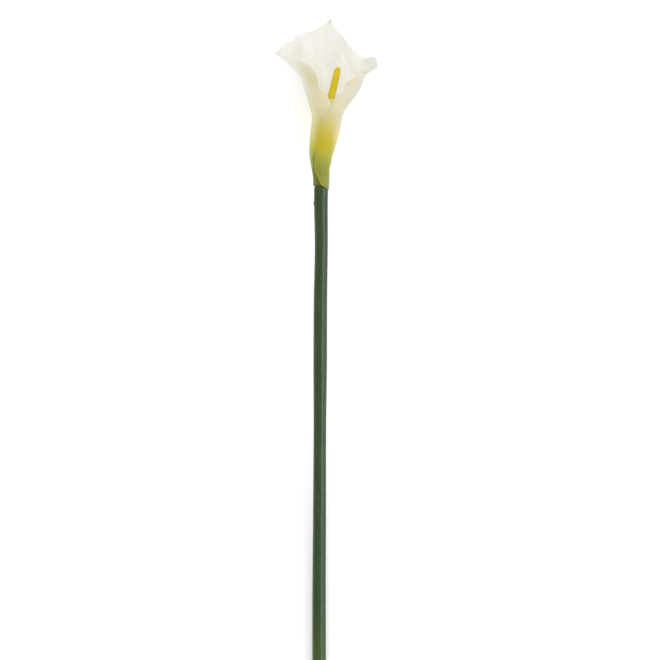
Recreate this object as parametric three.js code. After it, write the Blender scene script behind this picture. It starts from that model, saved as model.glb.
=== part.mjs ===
// Calla lily: one white flower on its cut stem, lying on its back on a table.
//
// Millimetres, +Z up. The stem runs along Y with the flower towards +Y, and the flower opens upwards.
// The shapes are laid out from the flower's foot: x to the right, y from the foot towards the tip,
// z above the table. The finished group is then moved so that its origin is the middle of its footprint.
//
// Three pieces:
//   stem    the round leafless stalk, cut across at its far end
//   spathe  the one white sheet: rolled into a tube that laps over in front, then opened into a funnel
//   spadix  the yellow spike that stands inside the tube, on top of the stem
import * as THREE from 'three';

// ---- driving dimensions -------------------------------------------------------------------------
const sheet = 0.7;              // thickness of the spathe
const lap = 1.1;                // how much further out the spathe's outer lap runs than its inner one
const seatGap = 0.3;            // clearance between a piece and what carries it
const easing = 0.7;             // height over which the spathe's back eases onto the table

const stemBelowFoot = 457;      // from the flower's foot down to the cut
const stemTop = 10;             // the stem's end inside the spathe's foot
const stemSides = 24;
const stemSteps = 43;

const columnsPerSpan = 2;       // columns of the spathe between two points of its rim
const tubeRows = 14;            // rows of the spathe from its foot to the funnel's mid height
const limbRows = 12;            // rows from there to the rim
const throatHeight = 62;
const footHeight = 1.4;         // the spathe's foot
const footDrop = 3.8;           // and how much lower it reaches on the right

const spadixSides = 20;
const spadixSteps = 76;
const floretRows = 19;          // florets along the spike
const floretWaves = 5;          // florets around the spike
const spadixCrowding = 1.35;    // 1 spaces the spike's rows evenly
const floretHeight = 0.22;

// ---- smooth curves through a few points ---------------------------------------------------------
// Each row of a table starts with its key, and the rest of the row runs smoothly from key to key.
function slopeAt(rows, i, column) {
  const before = rows[Math.max(i - 1, 0)];
  const after = rows[Math.min(i + 1, rows.length - 1)];
  return (after[column] - before[column]) / (after[0] - before[0]);
}

function smooth(rows, key) {
  let i = 0;
  while (i < rows.length - 2 && key > rows[i + 1][0]) i += 1;
  const a = rows[i];
  const b = rows[i + 1];
  const span = b[0] - a[0];
  const t = THREE.MathUtils.clamp((key - a[0]) / span, 0, 1);
  const values = [];
  for (let c = 1; c < a.length; c += 1) {
    values.push(hermite(a[c], slopeAt(rows, i, c) * span, b[c], slopeAt(rows, i + 1, c) * span, t));
  }
  return values;
}

function hermite(start, leave, end, arrive, t) {
  const t2 = t * t;
  const t3 = t2 * t;
  return start * (2 * t3 - 3 * t2 + 1) + leave * (t3 - 2 * t2 + t)
    + end * (3 * t2 - 2 * t3) + arrive * (t3 - t2);
}

// ---- the spathe ---------------------------------------------------------------------------------
// The funnel: height above the foot, radius, and the centre's x and z at that height.
const funnel = [
  [-2, 6.35, 0.3, 30.0],
  [9, 6.85, 0.3, 30.3],
  [16, 7.55, -0.1, 30.8],
  [21, 8.6, 0.0, 31.1],
  [26, 9.4, 0.0, 31.5],
  [36, 11.0, 1.5, 32.3],
  [46, 12.1, 3.3, 33.0],
  [57, 12.5, 4.9, 33.4],
  [62, 13.1, 5.4, 33.5],
  [68, 15.5, 6.2, 33.4],
  [75, 19.3, 7.9, 32.9],
  [85, 24.1, 9.6, 32.2],
  [92, 27.2, 10.4, 31.9],
  [100, 31.5, 9.9, 32.6],
];

// The rim, by its bearing round the funnel's axis: 0 is right, 90 is up towards the viewer, 180 is left
// and 270 is the back, under the flower. It starts at the hidden end of the inner lap, in front on the
// right, goes over the left side and the tip at the back to the right side, and ends on the outer lap.
// Each row: bearing, x, y, z, and how far the sheet has flared from straight up, in degrees.
const rim = [
  [40, 16.0, 65.5, 41.8, 25],
  [70, 9.3, 70.4, 48.0, 29],
  [84, 6.3, 76.0, 50.0, 31],
  [98, 2.4, 79.8, 51.4, 34],
  [112, -1.8, 85.4, 53.0, 37],
  [124, -2.8, 93.2, 54.0, 40],
  [134, -6.2, 99.0, 53.8, 43],
  [147, -13.8, 105.6, 51.0, 48],
  [163, -26.6, 111.2, 42.6, 52],
  [176, -38.8, 114.4, 32.2, 56],
  [184, -35.6, 117.6, 27.6, 54],
  [190, -34.0, 120.2, 23.6, 50],
  [198, -31.8, 123.8, 17.8, 44],
  [206, -28.6, 125.2, 12.2, 34],
  [213, -24.8, 126.8, 8.0, 22],
  [222, -18.6, 132.6, 2.4, 8],
  [244, -5.0, 136.6, -1.2, 0],
  [254, -0.6, 139.9, -1.2, 0],
  [263, 4.8, 142.0, -0.8, -2],
  [270, 8.8, 146.2, 0.9, -4],
  [277, 10.6, 141.4, -0.2, -2],
  [296, 17.4, 133.2, 1.8, 4],
  [316, 24.2, 123.8, 8.6, 26],
  [335, 31.4, 115.9, 17.4, 44],
  [347, 39.0, 111.8, 24.6, 64],
  [356, 46.6, 111.2, 28.8, 90],
  [366, 49.0, 103.6, 33.2, 96],
  [374, 43.2, 98.8, 38.8, 78],
  [384, 36.2, 94.6, 45.4, 60],
  [397, 28.0, 92.0, 50.6, 50],
  [407, 22.6, 88.8, 53.2, 44],
  [419, 19.6, 81.2, 53.4, 40],
  [428, 17.2, 77.0, 52.2, 36],
  [437, 9.2, 69.9, 49.1, 30],
];

// The part of each column's height above the throat that stays a funnel, by the column's bearing. The
// left wing bends out late.
const funnelShare = [
  [40, 0.45],
  [140, 0.45],
  [163, 0.6],
  [184, 0.6],
  [206, 0.45],
  [437, 0.45],
];

// The outer lap's edge wanders over the front of the tube: height, and bearing beyond a full turn.
const lapEdge = [
  [-2, 75],
  [7, 107],
  [14, 128],
  [27, 122],
  [46, 124],
  [60, 104],
  [72, 77],
];

const fullTurn = 360;
const backBearing = 270;
const firstBearing = rim[0][0];
const lastBearing = rim[rim.length - 1][0];

function polar(bearing) {
  const angle = THREE.MathUtils.degToRad(bearing);
  return { x: Math.cos(angle), z: Math.sin(angle) };
}

// The bearing of a column at a height: the columns near the outer lap's end follow its wandering edge.
function bearingAt(column, height) {
  const [edge] = smooth(lapEdge, height);
  const share = (column - firstBearing) / (lastBearing - firstBearing);
  return column + (edge + fullTurn - lastBearing) * share ** 3;
}

function funnelPoint(column, height) {
  const [radius, x, z] = smooth(funnel, height);
  const share = (column - firstBearing) / (lastBearing - firstBearing);
  const reach = radius + lap * (share - 0.5);
  const out = polar(bearingAt(column, height));
  return new THREE.Vector3(x + reach * out.x, height, z + reach * out.z);
}

function spathePoint(column, v) {
  const [x, y, z, flare] = smooth(rim, column);
  const edge = new THREE.Vector3(x, y, z);
  const turnedRight = column > backBearing ? Math.max(polar(column).x, 0) : 0;
  const foot = footHeight - footDrop * turnedRight ** 2;
  const [share] = smooth(funnelShare, column);
  const neck = throatHeight + share * (y - throatHeight);
  if (v <= 1) return funnelPoint(column, THREE.MathUtils.lerp(foot, neck, v));

  // From the funnel to the rim, on a curve that leaves along the funnel and arrives at the flare angle.
  const start = funnelPoint(column, neck);
  const leave = start.clone().sub(funnelPoint(column, neck - 1)).normalize();
  const out = polar(column);
  const tilt = THREE.MathUtils.degToRad(flare);
  const arrive = new THREE.Vector3(out.x * Math.sin(tilt), Math.cos(tilt), out.z * Math.sin(tilt));
  const length = start.distanceTo(edge);
  leave.multiplyScalar(length);
  arrive.multiplyScalar(length);
  const point = new THREE.Vector3();
  for (const axis of ['x', 'y', 'z']) {
    point[axis] = hermite(start[axis], leave[axis], edge[axis], arrive[axis], v - 1);
  }
  return point;
}

function spatheColumns() {
  const columns = [];
  for (let i = 0; i < rim.length - 1; i += 1) {
    for (let j = 0; j < columnsPerSpan; j += 1) {
      columns.push(THREE.MathUtils.lerp(rim[i][0], rim[i + 1][0], j / columnsPerSpan));
    }
  }
  columns.push(lastBearing);
  return columns;
}

function spatheRows() {
  const rows = [];
  for (let j = 0; j < tubeRows; j += 1) rows.push(j / tubeRows);
  for (let j = 0; j <= limbRows; j += 1) rows.push(1 + j / limbRows);
  return rows;
}

// The sheet's middle height where it lies on the table: it eases down onto it and is flat there.
function onTable(z) {
  const rise = z - sheet / 2;
  if (rise >= easing) return z;
  const eased = Math.max(rise + easing, 0) ** 2 / (4 * easing);
  return sheet / 2 + eased;
}

// A closed sheet of even thickness about a grid of points. Both faces are split along the same diagonals.
function sheetGeometry(grid) {
  const across = grid.length;
  const along = grid[0].length;
  const positions = [];
  const index = [];
  const vertex = (i, j, face) => (i * along + j) * 2 + face;

  for (let i = 0; i < across; i += 1) {
    for (let j = 0; j < along; j += 1) {
      const sideways = grid[Math.min(i + 1, across - 1)][j].clone().sub(grid[Math.max(i - 1, 0)][j]);
      const upwards = grid[i][Math.min(j + 1, along - 1)].clone().sub(grid[i][Math.max(j - 1, 0)]);
      const outwards = upwards.cross(sideways).normalize().multiplyScalar(sheet / 2);
      const outer = grid[i][j].clone().add(outwards);
      const inner = grid[i][j].clone().sub(outwards);
      outer.z = Math.max(outer.z, 0);
      positions.push(...outer.toArray(), ...inner.toArray());
    }
  }

  const quad = (a, b, c, d) => index.push(a, b, c, a, c, d);
  for (let i = 0; i < across - 1; i += 1) {
    for (let j = 0; j < along - 1; j += 1) {
      const [a, b, c, d] = [[i, j], [i, j + 1], [i + 1, j + 1], [i + 1, j]];
      const falling = grid[i][j].distanceTo(grid[i + 1][j + 1]);
      const rising = grid[i + 1][j].distanceTo(grid[i][j + 1]);
      const corners = falling <= rising ? [a, b, c, d] : [b, c, d, a];
      quad(...corners.map(([p, q]) => vertex(p, q, 0)));
      const [e, f, g, h] = corners.map(([p, q]) => vertex(p, q, 1));
      index.push(e, g, f, e, h, g);
    }
  }
  const edge = (p, q) => quad(vertex(...p, 0), vertex(...p, 1), vertex(...q, 1), vertex(...q, 0));
  for (let i = 0; i < across - 1; i += 1) {
    edge([i + 1, 0], [i, 0]);
    edge([i, along - 1], [i + 1, along - 1]);
  }
  for (let j = 0; j < along - 1; j += 1) {
    edge([0, j], [0, j + 1]);
    edge([across - 1, j + 1], [across - 1, j]);
  }
  return solid(positions, index);
}

function solid(positions, index) {
  const geometry = new THREE.BufferGeometry();
  geometry.setAttribute('position', new THREE.Float32BufferAttribute(positions, 3));
  geometry.setIndex(index);
  return geometry;
}

function makeSpathe() {
  const rows = spatheRows();
  const grid = spatheColumns().map((column) => rows.map((v) => spathePoint(column, v)));
  for (const point of grid.flat()) point.z = onTable(point.z);
  return sheetGeometry(grid);
}

// ---- round pieces along a curved line ------------------------------------------------------------
// radiusAt(share, angle) gives the outline at a share of the length; sections stand square to Y.
function roundGeometry(sides, steps, centreAt, radiusAt, turn = 0) {
  const positions = [];
  const index = [];
  for (let j = 0; j <= steps; j += 1) {
    const centre = centreAt(j / steps);
    for (let i = 0; i < sides; i += 1) {
      const angle = turn + (2 * Math.PI * i) / sides;
      const radius = radiusAt(j / steps, angle);
      positions.push(centre.x + radius * Math.cos(angle), centre.y, centre.z + radius * Math.sin(angle));
    }
  }
  for (let j = 0; j < steps; j += 1) {
    for (let i = 0; i < sides; i += 1) {
      const next = (i + 1) % sides;
      const [a, b, c, d] = [j * sides + i, j * sides + next, (j + 1) * sides + next, (j + 1) * sides + i];
      index.push(a, c, b, a, d, c);
    }
  }
  for (const end of [0, steps]) {
    const middle = positions.length / 3;
    positions.push(...centreAt(end / steps).toArray());
    for (let i = 0; i < sides; i += 1) {
      const [a, b] = [end * sides + i, end * sides + ((i + 1) % sides)];
      index.push(...(end === 0 ? [middle, a, b] : [middle, b, a]));
    }
  }
  return solid(positions, index);
}

// ---- the stem -----------------------------------------------------------------------------------
// Height above the foot, radius, and the centre's x and z. The cut end rests on the table.
const stemRadiusAtCut = 6.05;
const stemShoulder = [-0.2, 1.4];   // heights between which it narrows to enter the spathe's foot
const stemLine = [
  [-stemBelowFoot, stemRadiusAtCut, -1.25, stemRadiusAtCut],
  [-355, 5.95, -1.35, 10.4],
  [-278, 5.7, -0.95, 14.6],
  [-205, 5.52, -0.65, 18.6],
  [-155, 5.92, -0.4, 21.35],
  [-97, 5.87, -0.15, 24.7],
  [-50, 5.7, 0.6, 27.4],
  [-14, 6.05, 0.25, 29.4],
  [-5, 6.05, 0.35, 29.8],
  [stemShoulder[0], 6.0, 0.35, 30.0],
  [stemShoulder[1], 5.2, 0.3, 30.05],
  [4, 4.9, 0.25, 30.1],
  [stemTop, 4.6, 0.2, 30.4],
];

function stemHeights() {
  const heights = [];
  for (let i = 0; i < stemSteps; i += 1) {
    heights.push(THREE.MathUtils.lerp(-stemBelowFoot, stemShoulder[0], i / stemSteps));
  }
  return [...heights, ...stemShoulder, stemTop];
}

function makeStem() {
  const heights = stemHeights();
  const steps = heights.length - 1;
  const heightAt = (share) => heights[Math.round(share * steps)];
  const centreAt = (share) => {
    const [, x, z] = smooth(stemLine, heightAt(share));
    return new THREE.Vector3(x, heightAt(share), z);
  };
  const radiusAt = (share) => smooth(stemLine, heightAt(share))[0] / Math.cos(Math.PI / stemSides);
  return roundGeometry(stemSides, steps, centreAt, radiusAt, Math.PI / stemSides);
}

// ---- the spadix ---------------------------------------------------------------------------------
// Height above the foot, radius, and the centre's x and z.
const spadixFoot = stemTop + seatGap;
const spadixTop = 102.6;
const spadixLine = [
  [spadixFoot, 3.2, 0.2, 30.4],
  [26, 3.4, 0.4, 31.6],
  [44, 3.3, 3.0, 33.2],
  [60, 3.15, 5.5, 34.4],
  [76, 3.05, 8.95, 35.4],
  [90, 2.95, 12.2, 36.2],
  [98, 2.75, 14.0, 36.6],
  [101, 2.15, 14.6, 36.7],
  [spadixTop, 0.7, 14.9, 36.8],
];

function makeSpadix() {
  // Rows crowd towards the top, where the spike rounds off.
  const risen = (share) => 1 - (1 - share) ** spadixCrowding;
  const heightAt = (share) => THREE.MathUtils.lerp(spadixFoot, spadixTop, risen(share));
  const centreAt = (share) => {
    const [, x, z] = smooth(spadixLine, heightAt(share));
    return new THREE.Vector3(x, heightAt(share), z);
  };
  // Florets are the bumps where two sets of spirals, wound opposite ways, cross.
  const radiusAt = (share, angle) => {
    const [radius] = smooth(spadixLine, heightAt(share));
    const around = floretWaves * angle;
    const rise = 2 * Math.PI * floretRows * risen(share);
    return radius + floretHeight * (Math.cos(around + rise) + Math.cos(around - rise)) / 2;
  };
  return roundGeometry(spadixSides, spadixSteps, centreAt, radiusAt);
}

// ---- the flower ---------------------------------------------------------------------------------
const stemSkin = new THREE.MeshStandardMaterial({ color: 0x3f5a3b, roughness: 0.45, metalness: 0 });
const petal = new THREE.MeshStandardMaterial({ color: 0xf1ede2, roughness: 0.6, metalness: 0 });
const pollen = new THREE.MeshStandardMaterial({ color: 0xd9b42a, roughness: 0.85, metalness: 0 });

function piece(name, geometry, material) {
  const mesh = new THREE.Mesh(geometry, material);
  mesh.name = name;
  return mesh;
}

const flower = new THREE.Group();
flower.add(piece('stem', makeStem(), stemSkin));
flower.add(piece('spathe', makeSpathe(), petal));
flower.add(piece('spadix', makeSpadix(), pollen));

const footprint = new THREE.Box3().setFromObject(flower).getCenter(new THREE.Vector3());
flower.position.set(-footprint.x, -footprint.y, 0);

export default flower;
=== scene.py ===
"""A cut calla lily lying on its back on a pale table: the looks of its stem, spathe and spadix.

Shapes are laid out in millimetres from the flower's foot: x to the right, y from the foot towards the
tip, z above the table. They follow the same few points as the solid model, with a finer surface.
"""

import math

import bpy
import numpy as np
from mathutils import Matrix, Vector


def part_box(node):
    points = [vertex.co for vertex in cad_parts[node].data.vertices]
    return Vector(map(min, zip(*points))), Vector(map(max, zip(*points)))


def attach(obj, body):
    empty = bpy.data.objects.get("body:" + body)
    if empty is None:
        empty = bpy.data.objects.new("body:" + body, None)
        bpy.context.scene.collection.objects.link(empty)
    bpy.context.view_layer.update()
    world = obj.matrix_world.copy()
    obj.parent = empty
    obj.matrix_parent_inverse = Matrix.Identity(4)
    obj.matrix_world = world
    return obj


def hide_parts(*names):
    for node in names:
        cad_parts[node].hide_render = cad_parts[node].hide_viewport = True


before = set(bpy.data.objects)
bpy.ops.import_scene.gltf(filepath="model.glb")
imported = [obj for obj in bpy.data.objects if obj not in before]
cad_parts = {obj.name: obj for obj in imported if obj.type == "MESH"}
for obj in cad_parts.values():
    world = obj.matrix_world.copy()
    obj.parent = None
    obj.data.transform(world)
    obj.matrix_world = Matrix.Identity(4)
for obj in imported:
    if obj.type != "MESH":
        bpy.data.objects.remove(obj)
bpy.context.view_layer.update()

MM = 0.001
FULL_TURN = 360

# ---- driving dimensions, in millimetres ---------------------------------------------------------
SHEET = 0.7                     # thickness of the spathe in its tube
RIM_SHEET = 0.55                # and at its rim
LAP = 1.1                       # how much further out the outer lap runs than the inner one
LAP_TUCK = 0.3                  # the outer lap's margin lies this much closer to the inner one
LAP_MARGIN = 0.35               # and is this thick
SEAT_GAP = 0.3                  # between the stem's top and the spadix
EASING = 0.7                    # height over which the spathe's back eases onto the table
THROAT_HEIGHT = 62              # where the tube opens
FOOT_HEIGHT = 1.4               # the spathe's foot
FOOT_DROP = 3.8                 # and how much lower it reaches on the right
BACK_BEARING = 270

STEM_BELOW_FOOT = 457
STEM_TOP = 10
CUT_RADIUS = 6.05               # the stem's cut end
CUT_X = -1.25
SCAR_HEIGHT = -13.8             # a small scar on the stem, and its size
SCAR_RISE = 0.45
SCAR_LENGTH = 1.7
SCAR_WIDTH = 1.3
SPADIX_TOP = 102.6
SPADIX_SHOULDER = 99            # the rows of its mesh close up from here to its tip

# The funnel: height, radius, and the centre's x and z.
FUNNEL = [
    (-2, 6.35, 0.3, 30.0),
    (9, 6.85, 0.3, 30.3),
    (16, 7.55, -0.1, 30.8),
    (21, 8.6, 0.0, 31.1),
    (26, 9.4, 0.0, 31.5),
    (36, 11.0, 1.5, 32.3),
    (46, 12.1, 3.3, 33.0),
    (57, 12.5, 4.9, 33.4),
    (62, 13.1, 5.4, 33.5),
    (68, 15.5, 6.2, 33.4),
    (75, 19.3, 7.9, 32.9),
    (85, 24.1, 9.6, 32.2),
    (92, 27.2, 10.4, 31.9),
    (100, 31.5, 9.9, 32.6),
]

# The rim: bearing round the funnel (0 right, 90 up, 180 left, 270 the back), x, y, z and flare angle.
RIM = [
    (40, 16.0, 65.5, 41.8, 25),
    (70, 9.3, 70.4, 48.0, 29),
    (84, 6.3, 76.0, 50.0, 31),
    (98, 2.4, 79.8, 51.4, 34),
    (112, -1.8, 85.4, 53.0, 37),
    (124, -2.8, 93.2, 54.0, 40),
    (134, -6.2, 99.0, 53.8, 43),
    (147, -13.8, 105.6, 51.0, 48),
    (163, -26.6, 111.2, 42.6, 52),
    (176, -38.8, 114.4, 32.2, 56),
    (184, -35.6, 117.6, 27.6, 54),
    (190, -34.0, 120.2, 23.6, 50),
    (198, -31.8, 123.8, 17.8, 44),
    (206, -28.6, 125.2, 12.2, 34),
    (213, -24.8, 126.8, 8.0, 22),
    (222, -18.6, 132.6, 2.4, 8),
    (244, -5.0, 136.6, -1.2, 0),
    (254, -0.6, 139.9, -1.2, 0),
    (263, 4.8, 142.0, -0.8, -2),
    (270, 8.8, 146.2, 0.9, -4),
    (277, 10.6, 141.4, -0.2, -2),
    (296, 17.4, 133.2, 1.8, 4),
    (316, 24.2, 123.8, 8.6, 26),
    (335, 31.4, 115.9, 17.4, 44),
    (347, 39.0, 111.8, 24.6, 64),
    (356, 46.6, 111.2, 28.8, 90),
    (366, 49.0, 103.6, 33.2, 96),
    (374, 43.2, 98.8, 38.8, 78),
    (384, 36.2, 94.6, 45.4, 60),
    (397, 28.0, 92.0, 50.6, 50),
    (407, 22.6, 88.8, 53.2, 44),
    (419, 19.6, 81.2, 53.4, 40),
    (428, 17.2, 77.0, 52.2, 36),
    (437, 9.2, 69.9, 49.1, 30),
]

# The part of each column above the throat that stays a funnel, by bearing: the left wing bends out late.
FUNNEL_SHARE = [(40, 0.45), (140, 0.45), (163, 0.6), (184, 0.6), (206, 0.45), (437, 0.45)]

# The outer lap's edge over the front of the tube: height, and bearing beyond a full turn.
LAP_EDGE = [(-2, 75), (7, 107), (14, 128), (27, 122), (46, 124), (60, 104), (72, 77)]

# The stem and the spadix: height, radius, and the centre's x and z.
STEM_LINE = [
    (-STEM_BELOW_FOOT, CUT_RADIUS, CUT_X, CUT_RADIUS),
    (-355, 5.95, -1.35, 10.4),
    (-278, 5.7, -0.95, 14.6),
    (-205, 5.52, -0.65, 18.6),
    (-155, 5.92, -0.4, 21.35),
    (-97, 5.87, -0.15, 24.7),
    (-50, 5.7, 0.6, 27.4),
    (-14, 6.05, 0.25, 29.4),
    (-5, 6.05, 0.35, 29.8),
    (-0.2, 6.0, 0.35, 30.0),
    (1.4, 5.2, 0.3, 30.05),
    (4, 4.9, 0.25, 30.1),
    (STEM_TOP, 4.6, 0.2, 30.4),
]
SPADIX_LINE = [
    (STEM_TOP + SEAT_GAP, 3.2, 0.2, 30.4),
    (26, 3.4, 0.4, 31.6),
    (44, 3.3, 3.0, 33.2),
    (60, 3.15, 5.5, 34.4),
    (76, 3.05, 8.95, 35.4),
    (90, 2.95, 12.2, 36.2),
    (98, 2.75, 14.0, 36.6),
    (101, 2.15, 14.6, 36.7),
    (SPADIX_TOP, 0.7, 14.9, 36.8),
]

FIRST_BEARING = RIM[0][0]
LAST_BEARING = RIM[-1][0]
TIP_HEIGHT = max(row[2] for row in RIM)

# Where the flower's foot lies in the frame, from the stem's cut end.
stem_low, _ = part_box("stem")
FOOT = np.array([stem_low.x / MM + CUT_RADIUS - CUT_X, stem_low.y / MM + STEM_BELOW_FOOT, 0.0])


# ---- smooth curves through a few points ---------------------------------------------------------
def smooth(rows, keys):
    """The rows' values at the keys, on a curve through all the rows. A last axis holds the values."""
    rows = np.array(rows, float)
    key, values = rows[:, 0], rows[:, 1:]
    count = np.arange(len(key))
    before = np.maximum(count - 1, 0)
    after = np.minimum(count + 1, len(key) - 1)
    slopes = (values[after] - values[before]) / (key[after] - key[before])[:, None]
    keys = np.asarray(keys, float)
    i = np.clip(np.searchsorted(key, keys, side="left") - 1, 0, len(key) - 2)
    span = (key[i + 1] - key[i])[..., None]
    t = np.clip((keys[..., None] - key[i][..., None]) / span, 0, 1)
    return hermite(values[i], slopes[i] * span, values[i + 1], slopes[i + 1] * span, t)


def hermite(start, leave, end, arrive, t):
    """A point on the cubic between two ends with given slopes, t from 0 to 1."""
    t2 = t * t
    t3 = t2 * t
    return (start * (2 * t3 - 3 * t2 + 1) + leave * (t3 - 2 * t2 + t)
            + end * (3 * t2 - 2 * t3) + arrive * (t3 - t2))


def ease(low, high, value):
    """0 up to low, 1 from high on, and smooth between."""
    t = np.clip((value - low) / (high - low), 0, 1)
    return t * t * (3 - 2 * t)


def unit(vectors):
    return vectors / np.linalg.norm(vectors, axis=-1, keepdims=True)


# ---- meshes -------------------------------------------------------------------------------------
def add_piece(name, points, faces, facts, node, material):
    """A smooth mesh that stands for a CAD node. Facts are values per point that its material reads."""
    mesh = bpy.data.meshes.new(name)
    mesh.from_pydata(((points + FOOT) * MM).tolist(), [], faces)
    mesh.shade_smooth()
    for fact, values in facts.items():
        attribute = mesh.attributes.new(fact, "FLOAT", "POINT")
        attribute.data.foreach_set("value", np.asarray(values, np.float32).ravel())
    mesh.materials.append(material)
    piece = bpy.data.objects.new(name, mesh)
    bpy.context.scene.collection.objects.link(piece)
    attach(piece, "root")
    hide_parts(node)
    return piece


def grid_faces(index):
    """Quads over a grid of point numbers."""
    a, b, c, d = index[:-1, :-1], index[:-1, 1:], index[1:, 1:], index[1:, :-1]
    return np.stack([a, b, c, d], -1).reshape(-1, 4)


# ---- the spathe ---------------------------------------------------------------------------------
COLUMNS_PER_SPAN = 9
TUBE_ROWS = 60
LIMB_ROWS = 58
TUCKED_FROM = 0.94              # the shares of the sheet's width from which its outer margin
THINNED_FROM = 0.97             # lies closer and is thinner
RIM_THINS_FROM = 1.3            # the row from which the sheet thins towards its rim
BORDER_TURNS = (45, 0, -45)     # the rings that round the border, from the outer face inwards
BORDER_OUTER = (0.85, 0.5, 0.15)


def polar(bearing):
    """The direction of a bearing round the flower's axis."""
    angle = np.radians(bearing)
    return np.stack([np.cos(angle), np.zeros_like(angle), np.sin(angle)], -1)


def share_of(column):
    """0 at the inner lap's margin, 1 at the outer lap's."""
    return (column - FIRST_BEARING) / (LAST_BEARING - FIRST_BEARING)


def lap_edge(height):
    """The bearing of the outer lap's edge in front of the tube."""
    return smooth(LAP_EDGE, height)[..., 0]


def bearing_at(column, height):
    """The columns near the outer lap's end follow its wandering edge."""
    return column + (lap_edge(height) + FULL_TURN - LAST_BEARING) * share_of(column) ** 3


def tuck(column):
    """How much closer to the inner lap a column near the outer lap's end lies."""
    return LAP_TUCK * ease(TUCKED_FROM, 1, share_of(column))


def funnel_point(column, height):
    """A point of the rolled tube: its radius grows steadily from the inner lap to the outer one."""
    radius, x, z = np.moveaxis(smooth(FUNNEL, height), -1, 0)
    reach = radius + LAP * (share_of(column) - 0.5) - tuck(column)
    return np.stack([x, height, z], -1) + reach[..., None] * polar(bearing_at(column, height))


def spathe_middle(column, v):
    """Points of the sheet's middle. v runs from 0 at the foot over 1 on the funnel to 2 at the rim."""
    x, y, z, flare = np.moveaxis(smooth(RIM, column), -1, 0)
    edge = np.stack([x, y, z], -1)
    turned_right = np.where(column > BACK_BEARING, np.maximum(polar(column)[..., 0], 0), 0)
    foot = FOOT_HEIGHT - FOOT_DROP * turned_right ** 2
    neck = THROAT_HEIGHT + smooth(FUNNEL_SHARE, column)[..., 0] * (y - THROAT_HEIGHT)
    tube = funnel_point(column, foot + (neck - foot) * np.minimum(v, 1))

    edge = edge - tuck(column)[..., None] * polar(column)
    start = funnel_point(column, neck)
    leave = unit(start - funnel_point(column, neck - 1))
    tilt = np.radians(flare)[..., None]
    arrive = polar(column) * np.sin(tilt) + np.array([0, 1, 0]) * np.cos(tilt)
    length = np.linalg.norm(edge - start, axis=-1, keepdims=True)
    limb = hermite(start, leave * length, edge, arrive * length, np.maximum(v - 1, 0)[..., None])
    return np.where(v[..., None] <= 1, tube, limb)


def on_table(z):
    """The sheet's back eases onto the table and lies flat on it."""
    rise = z - SHEET / 2
    eased = SHEET / 2 + np.maximum(rise + EASING, 0) ** 2 / (4 * EASING)
    return np.where(rise >= EASING, z, eased)


def spathe_grid():
    """Columns by bearing and rows by v, closest together at the rim."""
    bearings = [row[0] for row in RIM]
    columns = np.concatenate([
        np.linspace(a, b, COLUMNS_PER_SPAN, endpoint=False) for a, b in zip(bearings, bearings[1:])
    ] + [[LAST_BEARING]])
    rows = np.concatenate([
        np.linspace(0, 1, TUBE_ROWS, endpoint=False),
        1 + np.sin(np.linspace(0, math.pi / 2, LIMB_ROWS)),
    ])
    return np.meshgrid(columns, rows, indexing="ij")


def edge_loop(across, along):
    """The grid's border once round."""
    loop = [(i, 0) for i in range(across - 1)]
    loop += [(across - 1, j) for j in range(along - 1)]
    loop += [(i, along - 1) for i in range(across - 1, 0, -1)]
    loop += [(0, j) for j in range(along - 1, 0, -1)]
    return np.array(loop)


def make_spathe(material):
    """One sheet: its outer and inner faces, and a rounded border round both."""
    column, v = spathe_grid()
    middle = spathe_middle(column, v)
    middle[..., 2] = on_table(middle[..., 2])
    outwards = unit(np.cross(np.gradient(middle, axis=1), np.gradient(middle, axis=0)))
    thickness = SHEET + (RIM_SHEET - SHEET) * ease(RIM_THINS_FROM, 2, v)
    thickness += (LAP_MARGIN - thickness) * ease(THINNED_FROM, 1, share_of(column))
    half = thickness[..., None] / 2

    # The border is rounded from the outer face over to the inner one.
    across, along = column.shape
    loop = edge_loop(across, along)
    inside = np.clip(loop, 1, [across - 2, along - 2])
    border = tuple(loop.T)
    beyond = unit(middle[border] - middle[tuple(inside.T)])
    turns = np.radians(BORDER_TURNS)[:, None, None]
    ring = middle[border] + half[border] * (outwards[border] * np.sin(turns) + beyond * np.cos(turns))

    points = np.concatenate([
        (middle + outwards * half).reshape(-1, 3),
        (middle - outwards * half).reshape(-1, 3),
        ring.reshape(-1, 3),
    ])
    points[:, 2] = np.maximum(points[:, 2], 0)

    outer = np.arange(across * along).reshape(across, along)
    inner = outer + across * along
    first = 2 * across * along
    rings = first + np.arange(ring.shape[0] * len(loop)).reshape(ring.shape[0], len(loop))
    bands = np.concatenate([outer[border][None], rings, inner[border][None]])
    bands = np.concatenate([bands, bands[:, :1]], axis=1)
    faces = np.concatenate([
        grid_faces(outer),
        grid_faces(inner)[:, ::-1],
        grid_faces(bands.T)[:, ::-1],
    ])

    def per_point(grid):
        return np.concatenate([grid.ravel(), grid.ravel(), np.tile(grid[border], len(ring))])

    # Degrees past the outer lap's edge, below 0 on the outer lap in front.
    bearing = bearing_at(column, middle[..., 1])
    past_lap = np.where(bearing > FULL_TURN, bearing - FULL_TURN, bearing) - lap_edge(middle[..., 1])
    outer_share = np.repeat([1.0, 0.0], across * along)
    ring_share = np.repeat(BORDER_OUTER, len(loop))
    facts = {
        "outer": np.concatenate([outer_share, ring_share]),
        "height": per_point(middle[..., 1] / TIP_HEIGHT),
        "around": per_point(bearing / FULL_TURN),
        "past_lap": per_point(past_lap),
        "limb": per_point(np.maximum(v - 1, 0)),
        "side": per_point(outwards[..., 0]),
    }
    return add_piece("spathe_sheet", points, faces.tolist(), facts, "spathe", material)


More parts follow.
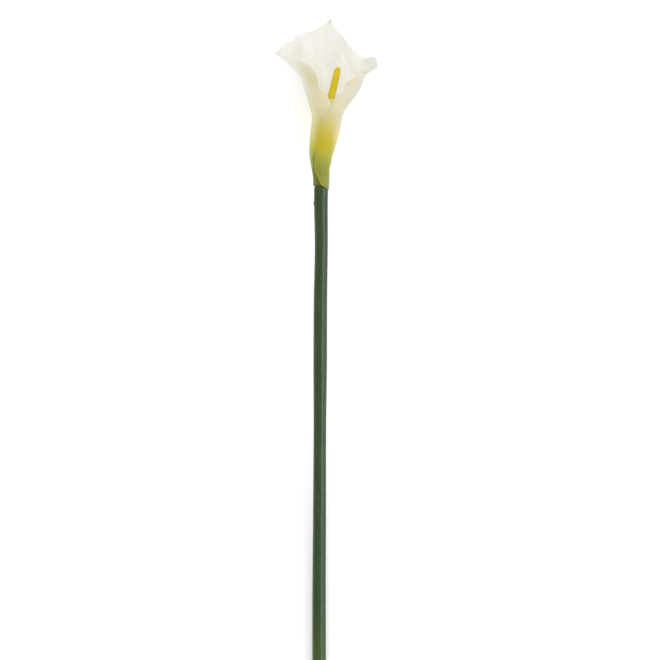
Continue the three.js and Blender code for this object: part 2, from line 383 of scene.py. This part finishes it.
# ---- round pieces -------------------------------------------------------------------------------
def round_points(line, heights, sides, relief=None):
    """Rings of points along a curved line; relief(height, angle) is added to the radius."""
    angle = np.arange(sides) * 2 * math.pi / sides
    height, angle = np.meshgrid(heights, angle, indexing="ij")
    radius, x, z = np.moveaxis(smooth(line, height), -1, 0)
    if relief is not None:
        radius = radius + relief(height, angle)
    return np.stack([x + radius * np.cos(angle), height, z + radius * np.sin(angle)], -1), height, angle


def capped_faces(rings, sides):
    """Quads over the rings, and a fan at each end round the two points that come after the rings."""
    index = np.arange(rings * sides).reshape(rings, sides)
    index = np.concatenate([index, index[:, :1]], axis=1)
    faces = grid_faces(index)[:, ::-1].tolist()
    low = rings * sides
    high = low + 1
    last = low - sides
    for i in range(sides):
        follow = (i + 1) % sides
        faces.append((low, i, follow))
        faces.append((high, last + follow, last + i))
    return faces


STEM_SIDES = 96
STEM_DENSE_FROM = -20           # the scar and the spathe's foot lie above this height
STEM_ROWS = (280, 80)           # below and above it
CUT_ROWS = (0, 0.08, 0.25, 0.5)
CUT_RINGS = (0.3, 0.6, 0.86, 0.97)
CUT_CROWN = 0.05


def scar(height, angle):
    """A small raised scar on the stem's left, just below the flower."""
    across = CUT_RADIUS * (angle - math.pi)
    along = height - SCAR_HEIGHT
    return SCAR_RISE * np.exp(-(along / SCAR_LENGTH) ** 2 - (across / SCAR_WIDTH) ** 2)


def make_stem(material):
    """The round stalk, with a flat cut at its lower end and the spadix's seat on top."""
    heights = np.concatenate([
        -STEM_BELOW_FOOT + np.array(CUT_ROWS),
        np.linspace(-STEM_BELOW_FOOT + 1, STEM_DENSE_FROM, STEM_ROWS[0], endpoint=False),
        np.linspace(STEM_DENSE_FROM, STEM_TOP, STEM_ROWS[1]),
    ])
    skin, height, angle = round_points(STEM_LINE, heights, STEM_SIDES, scar)
    # The cut end: rings inside the first one close it, and stand just proud of it.
    centre = skin[0].mean(0)
    crown = np.array([0, -CUT_CROWN, 0])
    closing = np.array([centre + (skin[0] - centre) * share + crown for share in CUT_RINGS])
    rings = np.concatenate([closing, skin])
    points = np.concatenate([rings.reshape(-1, 3), [centre + crown], [skin[-1].mean(0)]])
    radial = np.linalg.norm((rings - rings.mean(1, keepdims=True))[..., [0, 2]], axis=-1)
    on_cut = closing[..., 0].size
    facts = {
        "height": points[:, 1] / STEM_BELOW_FOOT,
        "cut": np.concatenate([np.ones(on_cut), np.zeros(height.size), [1, 0]]),
        "radial": np.concatenate([radial.ravel() / CUT_RADIUS, [0, 0]]),
        "scar": np.concatenate([np.zeros(on_cut), scar(height, angle).ravel() / SCAR_RISE, [0, 0]]),
    }
    faces = capped_faces(len(rings), STEM_SIDES)
    return add_piece("flower_stalk", points, faces, facts, "stem", material)


GOLDEN_ANGLE = math.radians(137.50776)
FLORETS_PER_MM = 11
FLORET_HEIGHT = 0.32
FLORET_REACH = 1.2              # only florets within this height of a point can be its nearest
FLORET_TURN = 1.2               # the least radius that they are spaced round, on the spadix's tip
FLORET_SPREAD = 0.62            # a floret's radius as a share of the florets' spacing
FLORET_LEVEL = 0.55             # how far up a dome the spadix has its plain radius
SPADIX_RADIUS = 3.0
SPADIX_SIDES = 120
SPADIX_ROWS = (620, 40)         # below its shoulder and on its tip
SPADIX_POINT = 0.1


def florets(height, angle):
    """How near each point is to the middle of its floret, from 0 between florets to 1 on top."""
    number = np.arange(int((SPADIX_TOP - STEM_TOP) * FLORETS_PER_MM))
    floret_height = STEM_TOP + number / FLORETS_PER_MM
    floret_angle = number * GOLDEN_ANGLE
    radius = smooth(SPADIX_LINE, height[:, 0])[:, 0]
    nearest = np.full(height.shape, np.inf)
    for row, (level, r) in enumerate(zip(height[:, 0], radius)):
        near = np.abs(floret_height - level) < FLORET_REACH
        turn = angle[row][:, None] - floret_angle[near][None]
        turn = (turn + math.pi) % (2 * math.pi) - math.pi
        gap = np.hypot(turn * max(r, FLORET_TURN), level - floret_height[near][None])
        nearest[row] = gap.min(1)
    spacing = math.sqrt(2 * math.pi * SPADIX_RADIUS / FLORETS_PER_MM)
    return np.sqrt(np.clip(1 - (nearest / (spacing * FLORET_SPREAD)) ** 2, 0, 1))


def make_spadix(material):
    """The spike, with a small dome for every floret."""
    tip = np.sin(np.linspace(0, math.pi / 2, SPADIX_ROWS[1]))[1:]
    heights = np.concatenate([
        np.linspace(STEM_TOP + SEAT_GAP, SPADIX_SHOULDER, SPADIX_ROWS[0]),
        SPADIX_SHOULDER + (SPADIX_TOP - SPADIX_SHOULDER) * tip,
    ])
    rings, height, angle = round_points(SPADIX_LINE, heights, SPADIX_SIDES)
    dome = florets(height, angle)
    radius, x, z = np.moveaxis(smooth(SPADIX_LINE, height), -1, 0)
    axis = np.stack([x, height, z], -1)
    growth = 1 + FLORET_HEIGHT * (dome - FLORET_LEVEL) / np.maximum(radius, 1)
    rings = axis + (rings - axis) * growth[..., None]
    top = rings[-1].mean(0) + [0, SPADIX_POINT, 0]
    points = np.concatenate([rings.reshape(-1, 3), [rings[0].mean(0)], [top]])
    facts = {
        "dome": np.concatenate([dome.ravel(), [0, 1]]),
        "height": np.concatenate([height.ravel(), [STEM_TOP, SPADIX_TOP]]) / SPADIX_TOP,
    }
    faces = capped_faces(len(rings), SPADIX_SIDES)
    return add_piece("spadix_spike", points, faces, facts, "spadix", material)


# ---- materials ----------------------------------------------------------------------------------
def paint(red, green, blue):
    """A colour from its 0 to 255 screen values."""
    def linear(value):
        value = value / 255
        return value / 12.92 if value <= 0.04045 else ((value + 0.055) / 1.055) ** 2.4
    return (linear(red), linear(green), linear(blue), 1.0)


class Surface:
    """A Principled material and short calls for the nodes that feed it."""

    def __init__(self, name, **constants):
        self.material = bpy.data.materials.new(name)
        self.material.use_nodes = True
        self.tree = self.material.node_tree
        self.shader = self.tree.nodes["Principled BSDF"]
        for socket, value in constants.items():
            self.shader.inputs[socket.replace("_", " ")].default_value = value

    def node(self, kind, inputs, **settings):
        """Adds a node. Each input is a plain value, or another node's output."""
        node = self.tree.nodes.new(kind)
        for setting, value in settings.items():
            setattr(node, setting, value)
        for socket, value in inputs.items():
            if isinstance(value, bpy.types.NodeSocket):
                self.tree.links.new(value, node.inputs[socket])
            else:
                node.inputs[socket].default_value = value
        return node

    def feed(self, socket, value):
        self.tree.links.new(value, self.shader.inputs[socket])

    def fact(self, name):
        return self.node("ShaderNodeAttribute", {}, attribute_name=name).outputs["Fac"]

    def math(self, operation, a, b=0.0, c=0.0):
        return self.node("ShaderNodeMath", {0: a, 1: b, 2: c}, operation=operation).outputs[0]

    def both(self, a, b):
        """Where two masks overlap."""
        return self.math("MULTIPLY", a, b)

    def blend_range(self, value, low, high, to_low=0.0, to_high=1.0):
        node = self.node("ShaderNodeMapRange", {
            "Value": value, "From Min": low, "From Max": high, "To Min": to_low, "To Max": to_high,
        }, interpolation_type="SMOOTHSTEP")
        return node.outputs["Result"]

    def vector(self, x, y, z=0.0):
        return self.node("ShaderNodeCombineXYZ", {"X": x, "Y": y, "Z": z}).outputs["Vector"]

    def noise(self, vector, scale, detail=3.0, roughness=0.5):
        node = self.node("ShaderNodeTexNoise", {
            "Vector": vector, "Scale": scale, "Detail": detail, "Roughness": roughness,
        })
        return node.outputs["Fac"]

    def ramp(self, factor, stops):
        """Colours along a factor: stops are (place, colour)."""
        node = self.node("ShaderNodeValToRGB", {"Fac": factor})
        elements = node.color_ramp.elements
        while len(elements) < len(stops):
            elements.new(0.5)
        for element, (place, colour) in zip(elements, sorted(stops, key=lambda stop: stop[0])):
            element.position = place
            element.color = colour
        return node.outputs["Color"]

    def shades(self, level, full, stops):
        """Painted colours at heights, in millimetres, of a level that is 1 at the full height."""
        return self.ramp(level, [(height / full, paint(*colour)) for height, colour in stops])

    def mix(self, factor, a, b, blend="MIX"):
        node = self.tree.nodes.new("ShaderNodeMix")
        node.data_type = "RGBA"
        node.blend_type = blend
        sockets = {"Factor": node.inputs[0], "A": node.inputs[6], "B": node.inputs[7]}
        for name, value in (("Factor", factor), ("A", a), ("B", b)):
            if isinstance(value, bpy.types.NodeSocket):
                self.tree.links.new(value, sockets[name])
            else:
                sockets[name].default_value = value
        return node.outputs[2]

    def bump(self, height, strength, distance):
        """Adds relief on top of what was added before."""
        node = self.node("ShaderNodeBump", {"Height": height, "Strength": strength, "Distance": distance})
        last = self.shader.inputs["Normal"].links
        if last:
            self.tree.links.new(last[0].from_socket, node.inputs["Normal"])
        self.feed("Normal", node.outputs["Normal"])


def outer_face(skin, level):
    """The spathe's outer colours: strongest in front, paler on the limb's back, and paler on both flanks
    partly by their own tone and partly by painted light.
    """
    height = skin.fact("height")
    around = skin.fact("around")
    side = skin.fact("side")
    front = skin.shades(level, TIP_HEIGHT, [
        (5, (129, 132, 48)), (13, (128, 132, 37)), (20, (141, 143, 47)), (27, (160, 157, 50)),
        (34, (175, 164, 20)), (40, (185, 162, 27)), (47, (185, 170, 64)), (54, (190, 180, 96)),
        (61, (196, 188, 138)), (68, (201, 194, 158)), (81, (204, 198, 169)), (94, (199, 195, 162)),
        (104, (204, 202, 182)), (112, (214, 212, 202)),
    ])
    left = skin.shades(level, TIP_HEIGHT, [
        (4, (104, 112, 42)), (13, (129, 135, 50)), (20, (144, 151, 62)), (27, (160, 168, 72)),
        (34, (177, 181, 86)), (40, (190, 194, 112)), (47, (204, 199, 136)), (61, (209, 202, 160)),
        (72, (205, 201, 172)), (84, (209, 206, 196)), (96, (218, 216, 208)), (114, (218, 216, 211)),
    ])
    right = skin.shades(level, TIP_HEIGHT, [
        (2, (136, 140, 86)), (14, (149, 152, 72)), (22, (165, 164, 74)), (30, (175, 165, 68)),
        (38, (198, 183, 104)), (46, (202, 193, 148)), (54, (198, 191, 154)), (61, (200, 192, 168)),
        (73, (193, 189, 178)), (90, (192, 190, 180)), (104, (203, 201, 194)), (114, (206, 205, 200)),
    ])
    # The left flank: its own paler tone, with painted light where it turns to the bright surroundings and
    # painted shade low down near the foot.
    left_from = skin.blend_range(height, 0.38, 0.5, -0.3, -0.66)
    left_flank = skin.blend_range(side, left_from, -0.92)
    limb_back = skin.both(skin.blend_range(around, 0.425, 0.475), skin.blend_range(height, 0.5, 0.66))
    limb_back = skin.both(limb_back, skin.blend_range(around, 0.95, 0.8))
    colour = skin.mix(skin.math("MAXIMUM", left_flank, limb_back), front, left)
    # The right flank: its own paler tone, with painted light where it turns to the bright surroundings.
    right_from = skin.blend_range(height, 0.2, 0.32, 0.62, 0.35)
    colour = skin.mix(skin.blend_range(side, right_from, 0.95), colour, right)

    glow = skin.both(skin.blend_range(height, 0.17, 0.21), skin.blend_range(height, 0.3, 0.24))
    glow = skin.both(glow, skin.blend_range(side, 0.0, 0.3, 0.0, 0.5))
    glow = skin.both(glow, skin.blend_range(side, 0.72, 0.42))
    colour = skin.mix(glow, colour, paint(178, 160, 16))
    return lap_light_and_shade(skin, colour)


def lap_light_and_shade(skin, colour):
    """Painted light and shade where the laps meet: painted shade on the inner lap under and next to the
    outer one's edge and at the foot, and painted highlights along the edge.
    """
    height = skin.fact("height")
    around = skin.fact("around")
    past_lap = skin.fact("past_lap")
    # Painted shade on the inner lap low on the tube, left of the outer one's edge.
    under_lap_shade = skin.both(skin.blend_range(around, 0.5, 0.38), skin.blend_range(height, 0.15, 0.06))
    lap_shade = skin.both(skin.blend_range(around, 0.4, 0.365), skin.blend_range(height, 0.22, 0.15))
    colour = skin.mix(skin.math("MAXIMUM", under_lap_shade, lap_shade), colour, paint(104, 112, 26))

    uncovered = skin.blend_range(past_lap, 0.0, 2.0)
    # Painted shade on the uncovered inner lap right next to the outer one's edge, low on the tube.
    shade_next_to_lap = skin.both(skin.blend_range(past_lap, 30.0, 10.0), uncovered)
    shade_next_to_lap = skin.both(shade_next_to_lap, skin.blend_range(height, 0.13, 0.07))
    colour = skin.mix(shade_next_to_lap, colour, paint(92, 97, 4))
    # A painted highlight along the outer lap's edge low on the tube.
    low_lap_edge_highlight = skin.both(skin.blend_range(past_lap, -16.0, -4.0), skin.blend_range(past_lap, 1.0, 0.0))
    low_lap_edge_highlight = skin.both(low_lap_edge_highlight, skin.blend_range(height, 0.24, 0.18))
    colour = skin.mix(low_lap_edge_highlight, colour, paint(147, 151, 58))
    # Painted light along the outer lap's edge below the V, over the shade of the step between the laps.
    high_lap_edge_light = skin.both(skin.blend_range(past_lap, -5.0, -1.0), skin.blend_range(past_lap, 5.0, 1.0))
    high_lap_edge_light = skin.both(high_lap_edge_light, skin.blend_range(height, 0.42, 0.48))
    colour = skin.mix(high_lap_edge_light, colour, paint(217, 210, 178))
    # Painted shade along the very foot of the uncovered sheet, on its left.
    foot_shade = skin.both(skin.blend_range(height, 0.024, 0.012), uncovered)
    foot_shade = skin.both(foot_shade, skin.blend_range(around, 0.75, 0.5))
    return skin.mix(foot_shade, colour, paint(78, 84, 22))


def inner_face(skin, level):
    """The spathe's inner colours: ivory white, yellow deep in the tube, greenish at the tip's point, with
    painted light and shade where the face turns, on the right wing's lip and at the left wing's corner.
    """
    height = skin.fact("height")
    around = skin.fact("around")
    limb = skin.fact("limb")
    side = skin.fact("side")
    # Ivory that is brightest from 80 to 105 mm: painted light against the shade deep in the funnel.
    colour = skin.shades(level, TIP_HEIGHT, [
        (10, (170, 172, 80)), (40, (220, 212, 130)), (62, (240, 236, 206)), (80, (247, 244, 232)),
        (105, (247, 244, 235)), (119, (241, 239, 233)), (131, (236, 234, 227)), (141, (233, 232, 223)),
        (146, (196, 198, 176)),
    ])
    # Painted shade where the inner face turns to the left; where it turns to the right, painted light low
    # on the limb and painted shade towards the rim.
    shade_facing_left = skin.ramp(limb, [(0.42, paint(230, 227, 215)), (0.68, paint(219, 216, 211))])
    colour = skin.mix(skin.blend_range(side, -0.15, -0.6), colour, shade_facing_left)
    light_and_shade_facing_right = skin.ramp(limb, [(0.5, paint(255, 253, 247)), (0.66, paint(246, 244, 237)),
                                   (0.82, paint(235, 233, 225)), (0.98, paint(222, 221, 214))])
    colour = skin.mix(skin.blend_range(side, 0.2, 0.6), colour, light_and_shade_facing_right)

    # Painted shade on the rolled lip of the right wing, and on its lower side.
    on_lip = skin.blend_range(around, 0.94, 0.99)
    lip = skin.both(skin.blend_range(limb, 0.35, 0.8), on_lip)
    colour = skin.mix(lip, colour, paint(204, 207, 202))
    low_lip = skin.both(skin.blend_range(limb, 0.3, 0.5), skin.blend_range(height, 0.71, 0.67))
    colour = skin.mix(skin.both(low_lip, on_lip), colour, paint(212, 210, 202))

    # Painted shade on the left wing's crimped corner, and along the crease that runs down from it.
    corner = skin.both(skin.blend_range(limb, 0.75, 1.0), skin.blend_range(around, 0.54, 0.5))
    colour = skin.mix(corner, colour, paint(206, 203, 199))
    crease = skin.both(skin.blend_range(around, 0.55, 0.575), skin.blend_range(around, 0.605, 0.58))
    crease = skin.both(crease, skin.blend_range(limb, 0.9, 0.6))
    return skin.mix(crease, colour, paint(246, 245, 238), "MULTIPLY")


def petal_material():
    """White limb, yellow throat and green foot, with faint veins along the length."""
    skin = Surface("petal", Roughness=0.55, Subsurface_Weight=0.3, Subsurface_Scale=0.003,
                   Specular_IOR_Level=0.2, Sheen_Weight=0.12, Sheen_Roughness=0.4)
    skin.shader.inputs["Subsurface Radius"].default_value = (1.0, 0.9, 0.6)
    height = skin.fact("height")
    around = skin.fact("around")
    limb = skin.fact("limb")

    along_veins = skin.vector(skin.math("MULTIPLY", around, 26.0), skin.math("MULTIPLY", height, 2.2))
    streaks = skin.noise(along_veins, 1.6, 4.0, 0.6)
    drift = skin.math("MULTIPLY_ADD", streaks, 0.05, -0.025)
    level = skin.math("ADD", height, drift)
    colour = skin.mix(skin.fact("outer"), inner_face(skin, level), outer_face(skin, level))
    veins = skin.blend_range(streaks, 0.35, 0.65, 0.0, 0.06)
    skin.feed("Base Color", skin.mix(veins, colour, paint(214, 208, 176), "MULTIPLY"))

    fine_veins = skin.noise(skin.vector(skin.math("MULTIPLY", around, 160.0),
                                        skin.math("MULTIPLY", height, 3.0)), 1.0, 2.0)
    place = skin.node("ShaderNodeTexCoord", {}).outputs["Object"]
    grain = skin.noise(place, 1400.0, 2.0)
    skin.bump(streaks, 0.16, 0.0006)
    skin.bump(fine_veins, 0.2, 0.0003)
    skin.bump(grain, 0.12, 0.0001)
    skin.feed("Roughness", skin.blend_range(skin.math("ADD", fine_veins, limb), 0.2, 1.8, 0.48, 0.6))
    return skin.material


def stem_material():
    """Dark green waxy skin with fine streaks along it, and pale pith on the cut."""
    skin = Surface("stem_skin", Roughness=0.25, Specular_IOR_Level=0.25, Subsurface_Weight=0.05,
                   Subsurface_Scale=0.001, Sheen_Weight=0.3, Sheen_Roughness=0.35)
    height = skin.fact("height")
    cut = skin.fact("cut")
    radial = skin.fact("radial")
    place = skin.node("ShaderNodeTexCoord", {}).outputs["Object"]
    mapping = skin.node("ShaderNodeMapping", {"Vector": place, "Scale": (1.0, 0.03, 1.0)})
    stretched = mapping.outputs["Vector"]
    streaks = skin.noise(stretched, 900.0, 4.0, 0.6)
    patches = skin.noise(stretched, 150.0, 2.0)

    skin_colour = skin.ramp(streaks, [(0.3, paint(26, 52, 12)), (0.55, paint(36, 62, 22)),
                                      (0.75, paint(50, 76, 36))])
    drift = skin.math("ADD", height, skin.math("MULTIPLY_ADD", patches, 0.1, -0.05))
    skin_colour = skin.mix(skin.blend_range(drift, -0.78, -0.95), skin_colour, paint(56, 76, 12))
    pith = skin.ramp(radial, [(0.0, paint(214, 218, 190)), (0.75, paint(192, 202, 162)),
                              (0.93, paint(120, 142, 92)), (1.0, paint(66, 92, 58))])
    skin_colour = skin.mix(skin.blend_range(skin.fact("scar"), 0.1, 0.9), skin_colour, paint(30, 48, 34))
    # Painted shade on the stem's top, just under the spathe's foot.
    skin_colour = skin.mix(skin.blend_range(height, -0.006, 0.0), skin_colour, paint(58, 62, 8))
    skin.feed("Base Color", skin.mix(cut, skin_colour, pith))
    skin.bump(streaks, 0.3, 0.0002)
    skin.bump(patches, 0.2, 0.0004)
    skin.feed("Roughness", skin.blend_range(streaks, 0.3, 0.7, 0.18, 0.28))
    return skin.material


def pollen_material():
    """Golden florets with painted shade between them, dusted with pollen."""
    skin = Surface("pollen", Roughness=0.8, Specular_IOR_Level=0.25, Subsurface_Weight=0.15,
                   Subsurface_Scale=0.0006)
    dome = skin.fact("dome")
    height = skin.fact("height")
    place = skin.node("ShaderNodeTexCoord", {}).outputs["Object"]
    grain = skin.noise(place, 5200.0, 2.0)
    blotches = skin.noise(place, 260.0, 3.0)
    # Painted light on the spike's lower part, against the shade deep in the throat: lightest low down,
    # darker towards the tip.
    tops = skin.shades(height, SPADIX_TOP, [
        (76, (244, 226, 58)), (84, (232, 214, 46)), (92, (222, 202, 42)), (100, (212, 192, 38)),
    ])
    speckles = skin.math("MULTIPLY_ADD", grain, 0.5, skin.math("MULTIPLY", blotches, 0.5))
    tops = skin.mix(skin.blend_range(speckles, 0.35, 0.65), tops, paint(240, 232, 214), "MULTIPLY")
    # Painted shade in the hollows between the florets.
    colour = skin.mix(skin.blend_range(dome, 0.1, 0.75), paint(194, 156, 22), tops)
    # The spike's pale foot: its own pale green, painted lighter against the shade deep in the throat.
    pale_foot_and_light = skin.blend_range(height, 0.745, 0.722)
    skin.feed("Base Color", skin.mix(pale_foot_and_light, colour, paint(255, 250, 186)))
    skin.bump(grain, 0.4, 0.0001)
    return skin.material


def table_material():
    """Matt white, and very slightly glowing."""
    table = Surface("table", Roughness=0.9, Specular_IOR_Level=0.1)
    table.shader.inputs["Base Color"].default_value = (0.97, 0.97, 0.97, 1.0)
    table.shader.inputs["Emission Color"].default_value = (1.0, 1.0, 1.0, 1.0)
    table.shader.inputs["Emission Strength"].default_value = 0.08
    return table.material


# ---- the stage ----------------------------------------------------------------------------------
VIEW_HEIGHT = 4.0               # metres from the camera down to the flower's middle height
FLOWER_LEVEL = 0.030            # that middle height above the table
VIEW_WIDTH = 0.5676             # metres across the picture at that height
VIEW_CENTRE = (0.0030, 0.0324)
SENSOR_MM = 36
TABLE_REACH = 6.0               # how far the table goes on each side


def make_camera():
    """Looks straight down at the flower."""
    data = bpy.data.cameras.new("camera")
    data.sensor_width = SENSOR_MM
    data.lens = SENSOR_MM * VIEW_HEIGHT / VIEW_WIDTH
    data.clip_end = 30
    camera = bpy.data.objects.new("camera", data)
    camera.location = (*VIEW_CENTRE, VIEW_HEIGHT + FLOWER_LEVEL)
    bpy.context.scene.collection.objects.link(camera)
    bpy.context.scene.camera = camera


def make_table():
    mesh = bpy.data.meshes.new("table")
    corners = [(TABLE_REACH * x, TABLE_REACH * y, 0) for x, y in ((-1, -1), (1, -1), (1, 1), (-1, 1))]
    mesh.from_pydata(corners, [], [(0, 1, 2, 3)])
    mesh.materials.append(table_material())
    table = bpy.data.objects.new("table", mesh)
    bpy.context.scene.collection.objects.link(table)


def add_light(name, lean, reach, size, watts, soft=True):
    """An area light to the right of straight up by an angle, at a distance in metres.

    A light that isn't soft shows only in highlights.
    """
    data = bpy.data.lights.new(name, "AREA")
    data.shape = "RECTANGLE"
    data.size, data.size_y = size
    data.energy = watts
    light = bpy.data.objects.new(name, data)
    angle = math.radians(lean)
    light.location = (reach * math.sin(angle), 0, reach * math.cos(angle))
    light.rotation_euler = (0, angle, 0)
    light.visible_diffuse = soft
    bpy.context.scene.collection.objects.link(light)


def make_lighting():
    world = bpy.data.worlds.new("studio")
    world.use_nodes = True
    background = world.node_tree.nodes["Background"]
    background.inputs["Color"].default_value = (1.0, 1.0, 1.0, 1.0)
    background.inputs["Strength"].default_value = 1.05
    bpy.context.scene.world = world
    add_light("softbox", 0, 2.4, (2.4, 2.4), 6)
    add_light("side_panel", 47, 1.5, (0.6, 1.6), 4.5)
    add_light("strip", 46, 1.5, (0.8, 1.6), 15, soft=False)
    add_light("low_strip", 82, 1.5, (0.6, 1.6), 6, soft=False)
    bpy.context.scene.view_settings.view_transform = "Standard"


make_camera()
make_table()
make_lighting()
make_stem(stem_material())
make_spathe(petal_material())
make_spadix(pollen_material())
